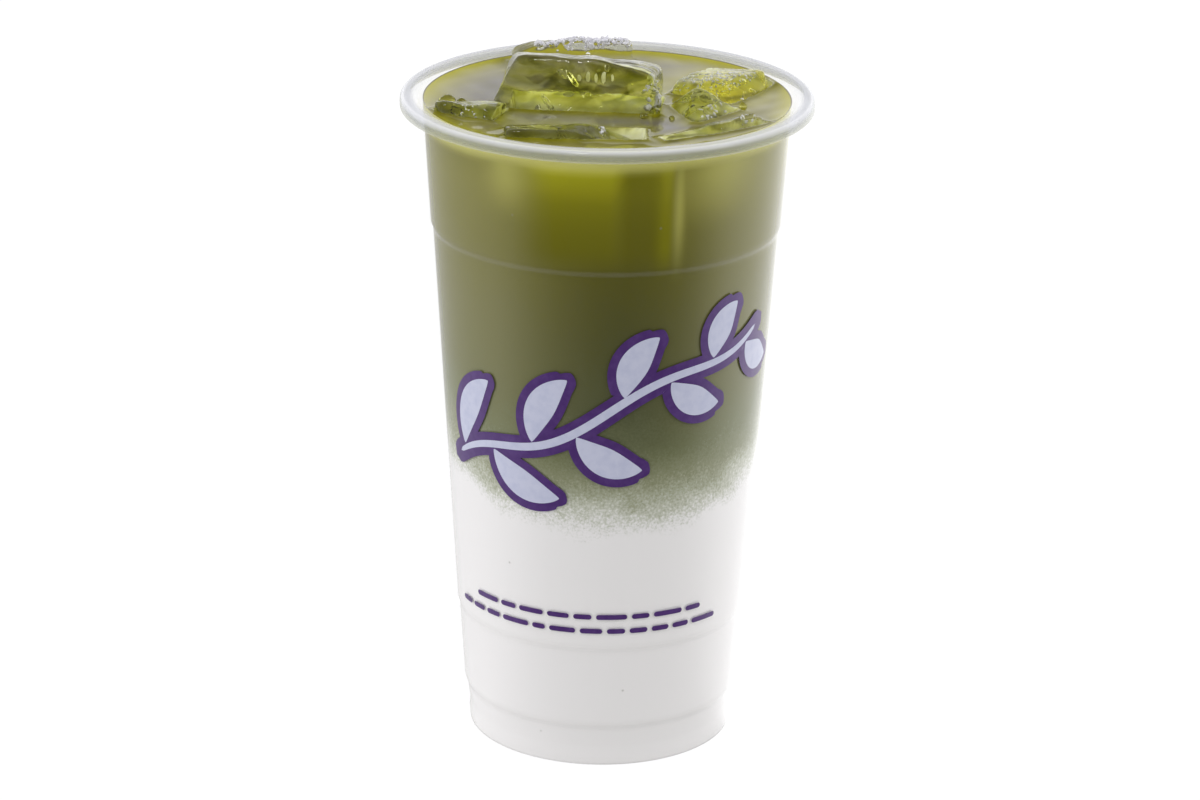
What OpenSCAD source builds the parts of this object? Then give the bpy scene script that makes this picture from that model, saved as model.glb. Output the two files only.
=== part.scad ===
// Iced matcha latte in its moulded plastic cup: white milk below, green tea
// above it, and seven blocks of ice that break the surface.
// Millimetres, +Z up, origin at the middle of the foot on the table.

/* [Cup] */
// Height of the cup, foot to top of rim
cup_h = 155; // [125:1:200]
// Diameter over the rim
rim_d = 95; // [76:0.5:120]
// Diameter of the foot on the table
foot_d = 62.8; // [50:0.2:76]
// Thickness of the side wall
wall = 0.7; // [0.4:0.05:1.5]
// Thickness of the floor of the cup
floor_t = 1.2; // [0.6:0.1:3]
// How far the middle of the base is raised off the table
base_recess = 2; // [0.5:0.1:5]
// Width of the ring that the cup stands on
foot_land = 3; // [1.5:0.1:6]
// Rounding of the edge of the foot
foot_round = 0.8; // [0.3:0.1:1.5]

/* [Steps in the wall] */
// Height of the foot ring, below the lowest step
foot_ring_h = 10.7; // [6:0.1:16]
// Height from the lowest step to the stacking rib
heel_h = 20.3; // [10:0.1:30]
// Height of the upper band, from the shoulder to the rim's top
band_h = 30.6; // [20:0.1:40]
// Width of the step at the foot
foot_step = 0.65; // [0.2:0.05:1.2]
// Width of the step at the stacking rib
rib_step = 0.45; // [0.2:0.05:1.2]
// Width of the step at the shoulder
shoulder_step = 0.55; // [0.2:0.05:1.2]
// Height over which each step slopes in
step_slope_h = 1.4; // [0.6:0.1:3]

/* [Rim] */
// How far the rim stands out from the wall
rim_w = 4.8; // [3.5:0.1:7]
// Height of the rim's turned-down skirt
skirt_h = 3; // [2.2:0.1:5]
// Thickness of the rim
rim_t = 0.9; // [0.6:0.05:1.2]
// Rounding of the rim's outer top edge
rim_round = 1.4; // [1.2:0.1:1.8]
// Depth of the slope from the rim down to the inside of the wall
lip_drop = 1.3; // [0.6:0.1:2]
// Width of that slope
lip_w = 1.8; // [1:0.1:2.5]

/* [Drink] */
// Height of the top of the milk layer above the table
milk_top = 67; // [20:1:100]
// Depth of the tea's surface below the top of the rim
freeboard = 2; // [1.6:0.1:20]
// Gap left between the drink and the wall
fill_gap = 0.1; // [0.05:0.01:0.3]

/* [Ice] */
// Diameter of the surface that the ice sizes and places below are laid out for
ice_field_d = 84; // [70:1:100]
// Width, depth and height of the large block in the middle
middle_size = [35, 15, 22]; // [8:0.5:40]
// Width, depth and height of the slab at the back
back_size = [29, 7, 18]; // [6:0.5:32]
// Width, depth and height of the block on the left
left_size = [16, 10, 12]; // [6:0.5:20]
// Width, depth and height of the slab at the front
front_size = [32, 9.5, 12]; // [6:0.5:34]
// Width, depth and height of the block at the right back
right_size = [18, 22, 14]; // [6:0.5:26]
// Edge of the cube that shows one corner
tip_size = 12; // [6:0.5:14]
// Width, depth and height of the slab at the right front
edge_size = [28, 5.5, 11]; // [4:0.5:30]
// Least gap between the ice and the wall, where the ice has melted
melt_gap = 0.5; // [0.2:0.1:2]

/* [Hidden] */
$fn = 96;

mouth_r = rim_d / 2 - rim_w;
foot_r = foot_d / 2;
// The three steps, from the foot up: height of the middle of each, and its width
STEPS = [
    [foot_ring_h, foot_step],
    [foot_ring_h + heel_h, rib_step],
    [cup_h - band_h, shoulder_step]
];
// Outward slope of the wall between the steps, in mm of radius for each mm of height
draft = (mouth_r - foot_r - foot_step - rib_step - shoulder_step) / cup_h;

surface_z = cup_h - freeboard;
surface_r = wall_r(surface_z) - wall;
ice_fit = 2 * surface_r / ice_field_d;

// Sum of the widths of the first n steps
function steps_below(n) = n == 0 ? 0 : STEPS[n - 1][1] + steps_below(n - 1);

// Outer radius of the wall at height z, between the sloping parts of the steps
function wall_r(z) =
    let (passed = len([for (s = STEPS) if (z > s[0]) s]))
    foot_r + draft * z + steps_below(passed);

// Points along an arc: centre [r, z], radius, first and last angle
function arc(centre, radius, first, last, parts = 6) = [
    for (i = [0:parts])
        let (a = first + (last - first) * i / parts)
        centre + radius * [cos(a), sin(a)]
];

// The wall's side from above the foot to height top, moved in by inset:
// two points at each step, and one at the top
function side(top, inset) = [
    for (i = [0:len(STEPS) - 1])
        let (z = STEPS[i][0], half = step_slope_h / 2)
        each [
            [foot_r + draft * z + steps_below(i) - inset, z - half],
            [foot_r + draft * z + steps_below(i + 1) - inset, z + half]
        ],
    [wall_r(top) - inset, top]
];

function reverse(list) = [for (i = [len(list) - 1:-1:0]) list[i]];

// Half of the cup's section, from the middle of the base round the outside,
// over the rim and back down the inside
module cup_section() {
    floor_z = base_recess + floor_t;
    skirt_z = cup_h - skirt_h;
    rim_r = rim_d / 2;
    base_r = foot_r - foot_land;
    polygon(concat(
        [[0, base_recess], [base_r - base_recess, base_recess], [base_r, 0]],
        arc([foot_r - foot_round, foot_round], foot_round, -90, 0),
        side(cup_h - rim_t - lip_drop, 0),
        [[mouth_r + lip_w, cup_h - rim_t]],
        arc([rim_r - rim_round, cup_h - rim_round], rim_round - rim_t, 90, 0),
        [[rim_r - rim_t, skirt_z + rim_t / 2]],
        arc([rim_r - rim_t / 2, skirt_z + rim_t / 2], rim_t / 2, 180, 360),
        arc([rim_r - rim_round, cup_h - rim_round], rim_round, 0, 90),
        [[mouth_r + lip_w, cup_h]],
        reverse(side(cup_h - lip_drop, wall)),
        [[foot_r - wall, floor_z + floor_t], [foot_r - wall - floor_t, floor_z], [0, floor_z]]
    ));
}

module cup() {
    color("#EDEDF2") rotate_extrude() cup_section();
}

// What fills the cup between two heights, as a solid that follows the wall
module layer(low, high) {
    floor_z = base_recess + floor_t + fill_gap;
    inset = wall + fill_gap;
    rotate_extrude() intersection() {
        polygon(concat(
            [[0, floor_z], [foot_r - inset - floor_t, floor_z], [foot_r - inset, floor_z + floor_t]],
            side(cup_h - lip_drop, inset),
            [[0, cup_h - lip_drop]]
        ));
        translate([0, low]) square([rim_d, high - low]);
    }
}

module milk() {
    color("#E9E8E6") layer(0, milk_top);
}

module matcha() {
    color("#6E6D34") difference() {
        layer(milk_top, surface_z);
        middle_shape();
        back_shape();
        left_shape();
        front_shape();
        right_shape();
        tip_shape();
        edge_shape();
    }
}

// A block of ice, worn at its edges: one box cut back by two more that are
// turned against it. The box is given as width, depth and height.
module worn_block(size, turn_a, turn_b) {
    intersection() {
        cube(size, center = true);
        rotate(turn_a) cube(size * 1.12, center = true);
        rotate(turn_b) cube(size * 1.12, center = true);
    }
}

// The room inside the wall, open upwards to height top above the rim
module room(top) {
    inset = wall + melt_gap;
    rotate_extrude() polygon(concat(
        [[0, 0]],
        side(surface_z, inset),
        [[surface_r - melt_gap, cup_h + top], [0, cup_h + top]]
    ));
}

// Puts a block at a place on the surface, turned, with its middle at height
// lift above the tea, and melts it back from the wall
module afloat(place, lift, turn) {
    intersection() {
        translate([0, 0, surface_z]) scale(ice_fit)
            translate([place.x, place.y, lift]) rotate(turn) children();
        room(rim_d);
    }
}

module middle_shape() {
    afloat([-4.5, -2.8], 0, [-12, 1.5, -5])
        worn_block(middle_size, [9, 12, 6], [-8, 3, -5]);
}

module back_shape() {
    afloat([-8.5, 30], -1.5, [-5, 0, 5])
        worn_block(back_size, [7, 4, 3], [-7, -5, -3]);
}

module left_shape() {
    afloat([-31.4, -11.8], -3.4, [-9, -4, -20])
        worn_block(left_size, [9, 7, 8], [-8, -6, -9]);
}

module front_shape() {
    afloat([-7, -28.4], -4, [-6, 0, 1])
        worn_block(front_size, [6, 3, 5], [-7, -3, -4]);
}

module right_shape() {
    afloat([26.8, 11], -3.6, [3, -1, -30])
        worn_block(right_size, [7, 7, 8], [-7, -6, -9]);
}

module tip_shape() {
    afloat([21.6, -9.2], -2.6, [45, 35, 20])
        worn_block([tip_size, tip_size, tip_size], [5, 4, 6], [-5, -4, -6]);
}

module edge_shape() {
    afloat([24.4, -24.2], -3.9, [-8, -4, 34])
        worn_block(edge_size, [5, 3, 4], [-5, -3, -4]);
}

module ice_middle() { color("#B9BF7C") middle_shape(); }

module ice_back() { color("#DDE0CE") back_shape(); }

module ice_left() { color("#8B8F3E") left_shape(); }

module ice_front() { color("#7A7A4A") front_shape(); }

module ice_right() { color("#B4B23E") right_shape(); }

module ice_tip() { color("#9A9A58") tip_shape(); }

module ice_edge() { color("#BDBC8C") edge_shape(); }

cup();
milk();
matcha();
ice_middle();
ice_back();
ice_left();
ice_front();
ice_right();
ice_tip();
ice_edge();
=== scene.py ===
# %% [markdown]
# # An iced matcha latte in a moulded plastic cup
# A tall clear cup holds white milk, green tea poured over it, and blocks of ice that break
# the surface. The CAD frame already has the cup, both layers and every block at its real size.
# This file gives them their looks: smooth turned surfaces, worn ice, a drink that blends from
# green to white, and printing on the wall.

# %% Load the frame
import math

import bmesh
import bpy
import numpy as np
from mathutils import Matrix, Vector


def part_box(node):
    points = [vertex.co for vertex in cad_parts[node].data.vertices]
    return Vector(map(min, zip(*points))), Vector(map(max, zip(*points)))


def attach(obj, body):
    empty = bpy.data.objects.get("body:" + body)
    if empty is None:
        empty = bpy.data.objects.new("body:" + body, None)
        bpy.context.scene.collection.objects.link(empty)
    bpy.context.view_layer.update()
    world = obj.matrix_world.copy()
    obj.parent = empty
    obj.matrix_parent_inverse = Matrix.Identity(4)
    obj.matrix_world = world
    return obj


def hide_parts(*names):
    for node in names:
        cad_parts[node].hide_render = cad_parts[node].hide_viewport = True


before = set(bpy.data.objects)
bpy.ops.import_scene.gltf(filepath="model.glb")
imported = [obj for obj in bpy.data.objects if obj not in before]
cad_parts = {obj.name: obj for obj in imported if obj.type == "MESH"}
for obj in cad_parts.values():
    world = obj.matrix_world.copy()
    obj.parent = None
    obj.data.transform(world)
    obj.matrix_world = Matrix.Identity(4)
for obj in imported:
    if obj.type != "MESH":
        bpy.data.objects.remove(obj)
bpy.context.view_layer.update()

MM = 0.001

# %% [markdown]
# ## Reading the cup's section
# The real cup is injection moulded, so it is a body of revolution: one outline turned about
# the axis. Its CAD node carries that outline on its seam, in the half plane y = 0, x > 0.
# Reading it there, and not typing the sizes again, keeps the looks true to the frame.

# %% Follow the seam of a turned node
def seam_outline(node):
    """The outline of a turned CAD node as an array of (radius, height), in order.

    The mesh's edges that lie in the half plane y = 0, x > 0 form one chain. It is followed
    from its lowest loose end to the other end."""
    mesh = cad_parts[node].data
    points = np.empty(len(mesh.vertices) * 3, np.float32)
    mesh.vertices.foreach_get("co", points)
    points = points.reshape(-1, 3)
    ends = np.empty(len(mesh.edges) * 2, np.int32)
    mesh.edges.foreach_get("vertices", ends)
    on_seam = (np.abs(points[:, 1]) < 1e-7) & (points[:, 0] > 0)
    places, number = np.unique(np.round(points[on_seam][:, [0, 2]], 6), axis=0, return_inverse=True)
    numbers = np.full(len(points), -1)
    numbers[on_seam] = number.ravel()
    pairs = numbers[ends.reshape(-1, 2)]
    pairs = pairs[(pairs.min(1) >= 0) & (pairs[:, 0] != pairs[:, 1])]
    beside = {}
    for a, b in pairs.tolist():
        beside.setdefault(a, set()).add(b)
        beside.setdefault(b, set()).add(a)
    chain = [min((i for i in beside if len(beside[i]) == 1), key=lambda i: places[i][1])]
    while len(chain) == 1 or len(beside[chain[-1]]) > 1:
        chain += [i for i in beside[chain[-1]] if i not in chain[-2:]][:1]
    return places[chain].astype(float)


def while_rising(outline):
    """The part of an outline before its height first drops."""
    return outline[: int(np.argmax(np.diff(outline[:, 1]) < 0)) + 1]


cup_outline = seam_outline("cup")
outside = while_rising(cup_outline[1:])
inside = while_rising(cup_outline[::-1])


def outer_radius(z):
    """Radius of the wall's outside at height z, read between the outline's points."""
    return np.interp(z, outside[:, 1], outside[:, 0])


def inner_radius(z):
    """Radius of the wall's inside at height z."""
    return np.interp(z, inside[:, 1], inside[:, 0])


CUP_TOP = float(cup_outline[:, 1].max())
TEA_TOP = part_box("matcha")[1].z
TEA_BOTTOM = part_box("matcha")[0].z
FLOOR_TOP = float(inside[0, 1])
RIM = float(cup_outline[:, 0].max())


def fold_heights(outline):
    """Middle heights of the steps: edges between foot and rim that lean out by over 1 in 10."""
    run, rise = np.diff(outline, axis=0).T
    middle = (outline[:-1, 1] + outline[1:, 1]) / 2
    return middle[(run > 0.1 * rise) & (middle > 5 * MM) & (middle < CUP_TOP - 5 * MM)]


FOLDS = fold_heights(outside)
print("steps in the wall at", np.round(FOLDS / MM, 1), "mm")
print("outline points:", len(cup_outline), "| wall at 60 mm: %.2f to %.2f mm"
      % (inner_radius(0.06) / MM, outer_radius(0.06) / MM), "| tea top %.1f mm" % (TEA_TOP / MM))

# %% [markdown]
# ## Small tools
# Everything solid here is a grid of points made by a formula in numpy, so one function makes
# the quads between neighbours on a grid, and one turns points and faces into a finished piece.
# One function adds a shader node of any kind, and one converts sRGB colour codes.

# %% Grids, pieces, nodes and colours
def grid_faces(rows, columns, wrap=False):
    """Quads between neighbours on a rows x columns grid. wrap joins the last column to the first."""
    i, j = np.meshgrid(np.arange(rows - 1), np.arange(columns if wrap else columns - 1), indexing="ij")
    a, b = i * columns + j, i * columns + (j + 1) % columns
    return np.stack([a, b, b + columns, a + columns], -1).reshape(-1, 4)


def around(radius, angle, z):
    """Points at a radius and height; the angle is 0 at the front (-Y) and grows towards +X."""
    radius, angle, z = np.broadcast_arrays(radius, angle, z)
    return np.stack([radius * np.sin(angle), -radius * np.cos(angle), z], -1)


def make_piece(name, points, faces, slot, materials, replaced=(), closed=True, paint=None,
               face_material=None, crease=60):
    """A smooth piece from points (metres) and faces. Doubles at seams and poles are welded.

    paint is {name: one number for each point}, kept as vertex attributes for the material."""
    mesh = bpy.data.meshes.new(name)
    mesh.from_pydata(points.reshape(-1, 3).tolist(), [], np.asarray(faces).tolist())
    for key, values in (paint or {}).items():
        mesh.attributes.new(key, "FLOAT", "POINT").data.foreach_set(
            "value", np.asarray(values, np.float32).ravel())
    for material in materials:
        mesh.materials.append(material)
    if face_material is not None:
        mesh.polygons.foreach_set("material_index", np.asarray(face_material, np.int32))
    work = bmesh.new()
    work.from_mesh(mesh)
    bmesh.ops.remove_doubles(work, verts=work.verts, dist=1e-6)
    if closed:
        bmesh.ops.recalc_face_normals(work, faces=work.faces)
    work.to_mesh(mesh)
    work.free()
    mesh.shade_smooth()
    mesh.set_sharp_from_angle(angle=math.radians(crease))
    made = bpy.data.objects.new(name, mesh)
    bpy.context.scene.collection.objects.link(made)
    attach(made, "root")
    if replaced:
        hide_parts(*replaced)
    print(f"{name}: {len(mesh.vertices)} points, {len(mesh.polygons)} faces")
    return made


def srgb(code):
    """The scene-linear colour, with alpha, of an sRGB hex code."""
    parts = [int(code[i:i + 2], 16) / 255 for i in (1, 3, 5)]
    return (*[p / 12.92 if p <= 0.04045 else ((p + 0.055) / 1.055) ** 2.4 for p in parts], 1.0)


def bare(name, kind="materials"):
    """A new material, or a new one of another kind of data, with an empty node tree."""
    print("new in", kind + ":", name)
    owner = getattr(bpy.data, kind).new(name)
    owner.use_nodes = True
    owner.node_tree.nodes.clear()
    return owner


def add(owner, kind, inputs=None, stops=None, **settings):
    """Add a shader node. inputs maps a socket's name or number to a value, node or socket.

    stops is a colour ramp's list of (position, sRGB code)."""
    made = owner.node_tree.nodes.new("ShaderNode" + kind)
    for key, value in settings.items():
        setattr(made, key, value)
    for key, value in (inputs or {}).items():
        if isinstance(value, bpy.types.Node):
            value = value.outputs[0]
        if isinstance(value, bpy.types.NodeSocket):
            owner.node_tree.links.new(value, made.inputs[key])
        else:
            made.inputs[key].default_value = value
    for number, (position, code) in enumerate(stops or ()):
        elements = made.color_ramp.elements
        spot = elements[number] if number < len(elements) else elements.new(position)
        spot.position, spot.color = position, srgb(code)
    return made


SOFT = {"interpolation_type": "SMOOTHSTEP"}
print("white in scene-linear:", srgb("#FFFFFF"))

# %% [markdown]
# ## Rounded corners
# A mould has no perfectly sharp corner: every step of the wall is eased by a few tenths of a
# millimetre, and that easing is what catches the light as a fine bright line. Each corner of the
# outline is replaced by a short quadratic curve.

# %% Ease an outline
def eased(outline, reach, parts=4):
    """Replace each inner corner of an outline by a quadratic curve with that corner as its handle.

    The curve starts and ends at 'reach' from the corner, or at 45% of a shorter edge."""
    corner = outline[1:-1]
    to_last, to_next = outline[:-2] - corner, outline[2:] - corner
    cut = [np.minimum(reach / np.maximum(np.linalg.norm(v, axis=1), 1e-9), 0.45)[:, None] * v
           for v in (to_last, to_next)]
    t = np.linspace(0, 1, parts)[None, :, None]
    curve = corner[:, None] + (1 - t) ** 2 * cut[0][:, None] + t ** 2 * cut[1][:, None]
    return np.vstack([outline[:1], curve.reshape(-1, 2), outline[-1:]])


whole_outline = np.vstack([[0, cup_outline[0, 1]], cup_outline, [0, cup_outline[-1, 1]]])
cup_section = eased(whole_outline, reach=0.4 * MM)
print("section points after easing:", len(cup_section))

# %% [markdown]
# ## The plastic of the cup
# Thin moulded polypropylene is nearly clear where it is stretched to a wall, and milky where it
# is thick, as in the rim. So the finish is a see-through coat: its cover is low on the wall,
# higher on the rim, and rises towards the edges, where the eye looks along the wall. Faint
# upright flow lines come from the way the melt runs from the gate in the base.

# %% Cup material
plastic = bare("injection_moulded_polypropylene")
place = add(plastic, "TexCoord").outputs["Object"]
split = add(plastic, "SeparateXYZ", {0: place})
height = split.outputs["Z"]
# Thick rim: above 3 mm under the top, and outside the mouth, the plastic turns milky.
rim_height = add(plastic, "MapRange", {0: height, 1: CUP_TOP - 3.4 * MM, 2: CUP_TOP - 2.6 * MM})
radius = add(plastic, "VectorMath", {0: place, 1: (1, 1, 0)}, operation="MULTIPLY")
radius = add(plastic, "VectorMath", {0: radius}, operation="LENGTH").outputs["Value"]
rim_out = add(plastic, "MapRange", {0: radius, 1: RIM - 4.9 * MM, 2: RIM - 2.1 * MM}, **SOFT)
rim = add(plastic, "Math", {0: rim_height, 1: rim_out}, operation="MULTIPLY")
# Flow lines: noise stretched along the axis, about 2 mm wide and 80 mm long.
lines = add(plastic, "Mapping", {0: place, "Scale": (420, 420, 12)})
lines = add(plastic, "TexNoise", {"Vector": lines, "Scale": 1.0, "Detail": 2.0})
lines = add(plastic, "MapRange", {0: lines.outputs["Fac"], 1: 0.45, 2: 0.7, 3: 0.0, 4: 0.006})
# Edge-on, the wall is long to look through, and its milkiness adds up.
edge = add(plastic, "LayerWeight", {"Blend": 0.28})
edge = add(plastic, "Math", {0: edge.outputs["Facing"], 1: 3.0}, operation="POWER")
edge = add(plastic, "Math", {0: edge, 1: 0.14}, operation="MULTIPLY")
# Up the rim, painted light and shade: a pale yellow lower edge, a grey skirt, a white highlight
# where its top turns over, and a greyer flat top.
up_rim = add(plastic, "MapRange", {0: height, 1: CUP_TOP - 3.1 * MM, 2: CUP_TOP + 0.05 * MM})
milky = add(plastic, "MapRange", {0: up_rim, 1: 0.55, 2: 0.9, 3: 0.36, 4: 0.55})
# A shallow groove in its flat top is thinner, so it is clearer.
groove = add(plastic, "Math", {0: radius, 1: RIM - 3.1 * MM}, operation="SUBTRACT")
groove = add(plastic, "Math", {0: groove}, operation="ABSOLUTE")
groove = add(plastic, "MapRange", {0: groove, 1: 0.4 * MM, 2: 1.0 * MM, 3: 0.5}, **SOFT)
milky = add(plastic, "Math", {0: milky, 1: groove}, operation="MULTIPLY")
cover = add(plastic, "Math", {0: rim, 1: milky}, operation="MULTIPLY")
# The neck below the rim is a little milky too.
neck = add(plastic, "MapRange", {0: height, 1: CUP_TOP - 7.5 * MM, 2: CUP_TOP - 3 * MM, 4: 0.12}, **SOFT)
more = [neck, lines, edge]
# Each step of the wall is a fold; a pale line about 1 mm high is added to the cover there, a painted
# highlight.
for fold in FOLDS.tolist():
    apart = add(plastic, "Math", {0: height, 1: fold}, operation="SUBTRACT")
    apart = add(plastic, "Math", {0: apart}, operation="ABSOLUTE")
    more.append(add(plastic, "MapRange", {0: apart, 1: 0.3 * MM, 2: 0.9 * MM, 3: 0.06, 4: 0.0}, **SOFT))
for amount in more + [0.002]:
    cover = add(plastic, "Math", {0: cover, 1: amount}, operation="ADD")
cover.use_clamp = True
shade = add(plastic, "ValToRGB", {0: up_rim}, stops=[
    (0.0, "#F2F0CE"), (0.1, "#E2E0BE"), (0.2, "#A8AC9A"), (0.55, "#A9ADA6"), (0.78, "#DCDEE2"),
    (0.93, "#F4F5F8"), (0.99, "#BCBEC4")])
tint = add(plastic, "MixRGB", {0: rim, 1: srgb("#F1F0ED"), 2: shade})
shader = add(plastic, "BsdfPrincipled", {"Base Color": tint, "Alpha": cover, "Roughness": 0.14, "IOR": 1.49})
add(plastic, "OutputMaterial", {0: shader})

# %% Turn the cup
def revolved(outline, columns):
    """An outline of (radius, height) turned about the axis: a grid of len(outline) x columns points."""
    angle = np.linspace(0, 2 * np.pi, columns, endpoint=False)
    return around(outline[:, 0, None], angle, outline[:, 1, None])


cup_columns = 192
make_piece("cup_body", revolved(cup_section, cup_columns),
           grid_faces(len(cup_section), cup_columns, wrap=True),
           "cup_plastic", [plastic], ["cup"])

# %% [markdown]
# ## Flat-faced ice
# Each CAD block is a convex body: an exact list of planes. The same planes can be used in two
# ways. Turned into a soft maximum they give one smooth surface with worn edges. Cut by an
# upright line they tell how deep a block reaches at any place, which shapes the tea around it.

# %% Planes of the blocks
class Block:
    """The planes of one convex CAD node: outward normals, their distances from a centre, and its axes."""

    def __init__(self, node):
        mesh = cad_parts[node].data
        flat = np.empty((3, len(mesh.polygons), 3), np.float32)
        mesh.polygons.foreach_get("normal", flat[0].reshape(-1))
        mesh.polygons.foreach_get("center", flat[1].reshape(-1))
        points = np.empty(len(mesh.vertices) * 3, np.float32)
        mesh.vertices.foreach_get("co", points)
        points = points.reshape(-1, 3).astype(float)
        self.name = node
        self.centre = (points.min(0) + points.max(0)) / 2
        normals = flat[0].astype(float)
        _, first = np.unique(np.round(normals, 2), axis=0, return_index=True)
        self.normals = normals[first]
        self.distances = ((flat[1].astype(float)[first] - self.centre) * self.normals).sum(1)
        # Principal axes, longest first, for a grid that suits the block's shape.
        _, spread, self.axes = np.linalg.svd(points - points.mean(0), full_matrices=False)
        self.half = np.abs((points - self.centre) @ self.axes.T).max(0)

    def clearance(self, x, y, z):
        """How far points lie outside the block: the largest distance past a plane, negative inside."""
        apart = np.stack([x, y, z], -1) - self.centre
        return (apart @ self.normals.T - self.distances).max(-1)

    def underside(self, x, y, shrink):
        """Height of the block's underside above or below (x, y), with its planes drawn in by 'shrink'."""
        apart = np.stack([x, y], -1) - self.centre[:2]
        down = self.normals[:, 2] < -1e-3
        left = (self.distances - shrink)[down] - apart @ self.normals[down, :2].T
        return (left / self.normals[down, 2]).max(-1) + self.centre[2]


blocks = {name: Block(name) for name in sorted(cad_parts) if name.startswith("ice_")}
for block in blocks.values():
    print(block.name, len(block.normals), "planes, half sizes in mm:", np.round(block.half / MM, 1))

# %% [markdown]
# ## The drink
# The tea and the milk fill the cup and reach just into the wall, so that no gap of air shows.
# Green tea poured on milk floats, and the two mix in a grainy belt a few millimetres high. The
# belt lies higher at the sides than in front, where the tea was poured. The side of each layer
# carries five painted amounts: how high a place is in the drink, how strong the tea is there
# with painted shade in front, where a sunken block of ice lies against the wall and shows clear
# and saturated, how much painted light falls into that block, and how much painted light
# spills round it and pales the top of the drink.

# %% Amounts painted on the side of the drink
def smooth(value, low, high):
    """0 below low, 1 above high, and a smooth step between."""
    t = np.clip((value - low) / (high - low), 0, 1)
    return t * t * (3 - 2 * t)


def hump(angle, middle, width):
    """A bell round the axis, in degrees: 1 at the middle angle and 0.37 at 'width' from it."""
    apart = (angle - middle + 180) % 360 - 180
    return np.exp(-(apart / width) ** 2)


def side_paint(angle, z):
    """The painted amounts at an angle (radians) and height on the drink's side."""
    turn, under = np.degrees(angle), (z - TEA_TOP) / MM
    lift = 7.0 * MM * np.sin(angle - math.radians(8)) ** 2
    sway = 0.6 * MM * np.sin(5 * angle + 1.0) + 0.4 * MM * np.sin(11 * angle)
    # The tea is painted darker in a band in front, a little right of the middle, which is painted shade, and
    # in a band at the back. Both fade out low down and near the top.
    strength_and_shade = np.maximum(hump(turn, 6, 32), 0.9 * hump(turn, 170, 45))
    strength_and_shade = strength_and_shade * smooth(z - TEA_BOTTOM, 3 * MM, 17 * MM) * (1 - 0.8 * smooth(under, -25, -3))
    # Sunken blocks against the wall: (middle and half width in degrees, foot in mm from the tea's
    # top). Each is painted with light and shade: lighter at the top and on its left, darker lower
    # down and on its right, with a pale line just inside its right edge.
    window, bright, glow = np.zeros((3, *z.shape))
    for middle, half, foot in ((1, 20, -27), (112, 16, -24), (185, 20, -29), (258, 14, -22)):
        apart = (turn - middle + 180) % 360 - 180
        here = smooth(apart, -half - 13, -half + 4) * (1 - smooth(apart, half - 1, half + 1.5))
        here = here * smooth(under, foot - 4, foot + 5)
        light = 0.06 + np.exp(np.clip(under + 3, -60, 0) / 7.5)
        light = light * (1 - 0.6 * smooth(apart, 0, 7)) + 0.22 * hump(turn, middle + half - 2, 3.0)
        window, bright = np.maximum(window, here), np.where(here > 0, light, bright)
        # Painted light: a thin pale column just outside its right edge, and a pale patch left of it.
        column = 0.33 * hump(turn, middle + half + 2.2, 1.9) * smooth(under, foot - 6, foot + 12)
        spill = 0.42 * hump(turn, middle - half - 13, 7) * smooth(under, -19, -3)
        glow = np.maximum(glow, np.maximum(column, spill))
    # Painted light: a pale patch in front, right of the middle.
    glow = np.maximum(glow, 0.42 * hump(turn, 38, 13) * smooth(under, -21, -2))
    # All round, the top 3 mm or so is painted pale: painted light under the rim.
    glow = np.maximum(glow, 0.95 * smooth(under, -5.8, -2.4))
    return {"layer": z - lift - sway, "strength_and_shade": strength_and_shade, "window": window,
            "bright": np.clip(bright, 0, 1), "glow": np.clip(glow, 0, 1)}


# %% [markdown]
# ## Colours of the two layers
# Matcha over milk is olive green, never leaf green: more yellow near the top, greyer lower
# down where milk has risen into it, then a speckled fringe, then white. The wall in front of
# the drink gives it a clear gloss, which is the coat of this finish.

# %% Side of the drink
LAYER_LOW, LAYER_HIGH = 60 * MM, 155 * MM


def layer_stops(*stops):
    """Ramp stops from pairs of a height in mm and a colour."""
    return [((height * MM - LAYER_LOW) / (LAYER_HIGH - LAYER_LOW), code) for height, code in stops]


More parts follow.
